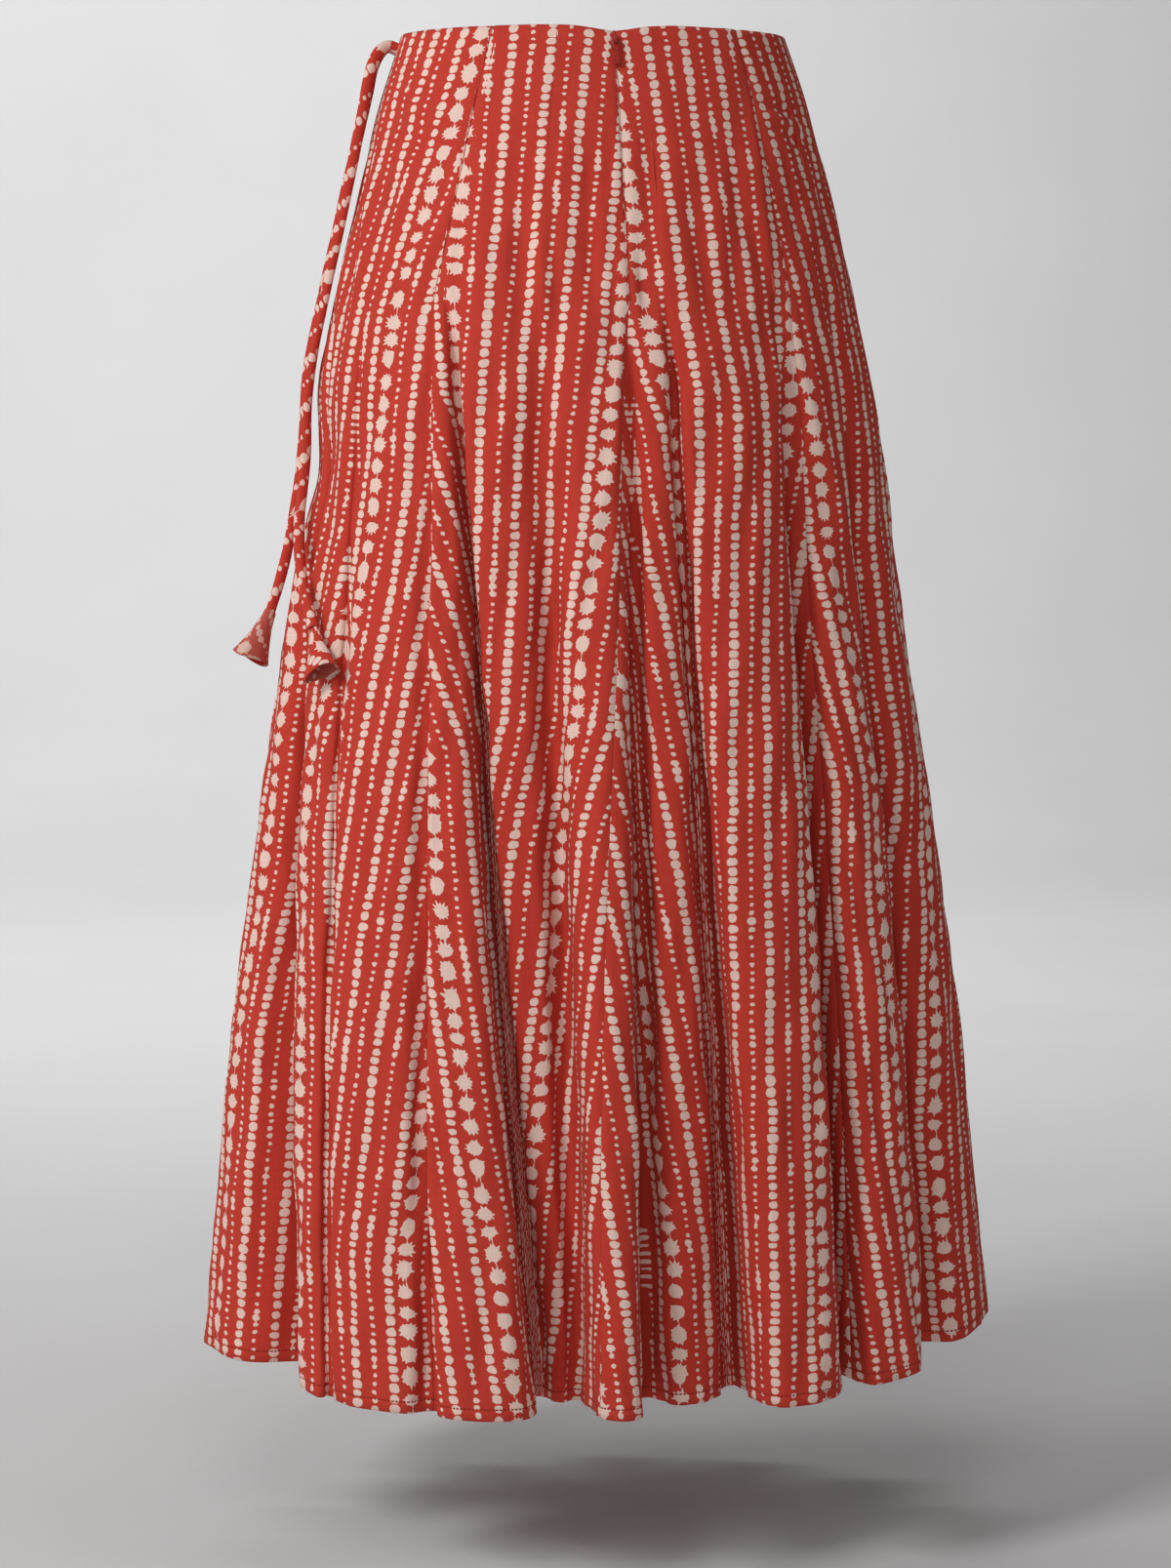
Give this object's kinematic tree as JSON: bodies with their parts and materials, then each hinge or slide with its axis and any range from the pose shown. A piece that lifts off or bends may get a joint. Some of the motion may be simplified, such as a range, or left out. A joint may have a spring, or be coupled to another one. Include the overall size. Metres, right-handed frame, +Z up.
{
  "type": "maxi skirt",
  "caption": "Long flared gored skirt of light printed cotton, worn and hollow, with a concealed back zip and hanging fabric ties with flared ends at one side.",
  "frame": {"origin": "centre of the waist opening, at the level of its top edge", "axes": "+Z up through the waist, -Y towards the skirt's back with the zip, +X to the wearer's right with the ties at -X, the wearer's left"},
  "size_m": [0.555, 0.4735, 0.9233],
  "materials": {
    "printed_cotton": "matt red cotton voile printed with cream stars and dots",
    "tie_cotton": "matt printed cotton cut on the bias",
    "painted_metal": "gloss dark red paint"
  },
  "bodies": {
    "skirt": {"side_back_left_gore": "printed_cotton", "back_left_gore": "printed_cotton", "back_right_gore": "printed_cotton", "side_back_right_gore": "printed_cotton", "side_front_right_gore": "printed_cotton", "front_right_gore": "printed_cotton", "front_left_gore": "printed_cotton", "side_front_left_gore": "printed_cotton", "tie_rear": "tie_cotton", "tie_front": "tie_cotton", "tie_bell_rear": "tie_cotton", "tie_bell_front": "tie_cotton", "zip_slider": "painted_metal"},
    "zip_pull": {"zip_pull": "painted_metal"}
  },
  "joints": [
    {"name": "zip_pull_hinge", "type": "hinge", "parent": "skirt", "child": "zip_pull", "pos_m": [0, -0.10707, -0.01085], "axis": [-1, 0, 0], "range_deg": [0, 150]}
  ]
}
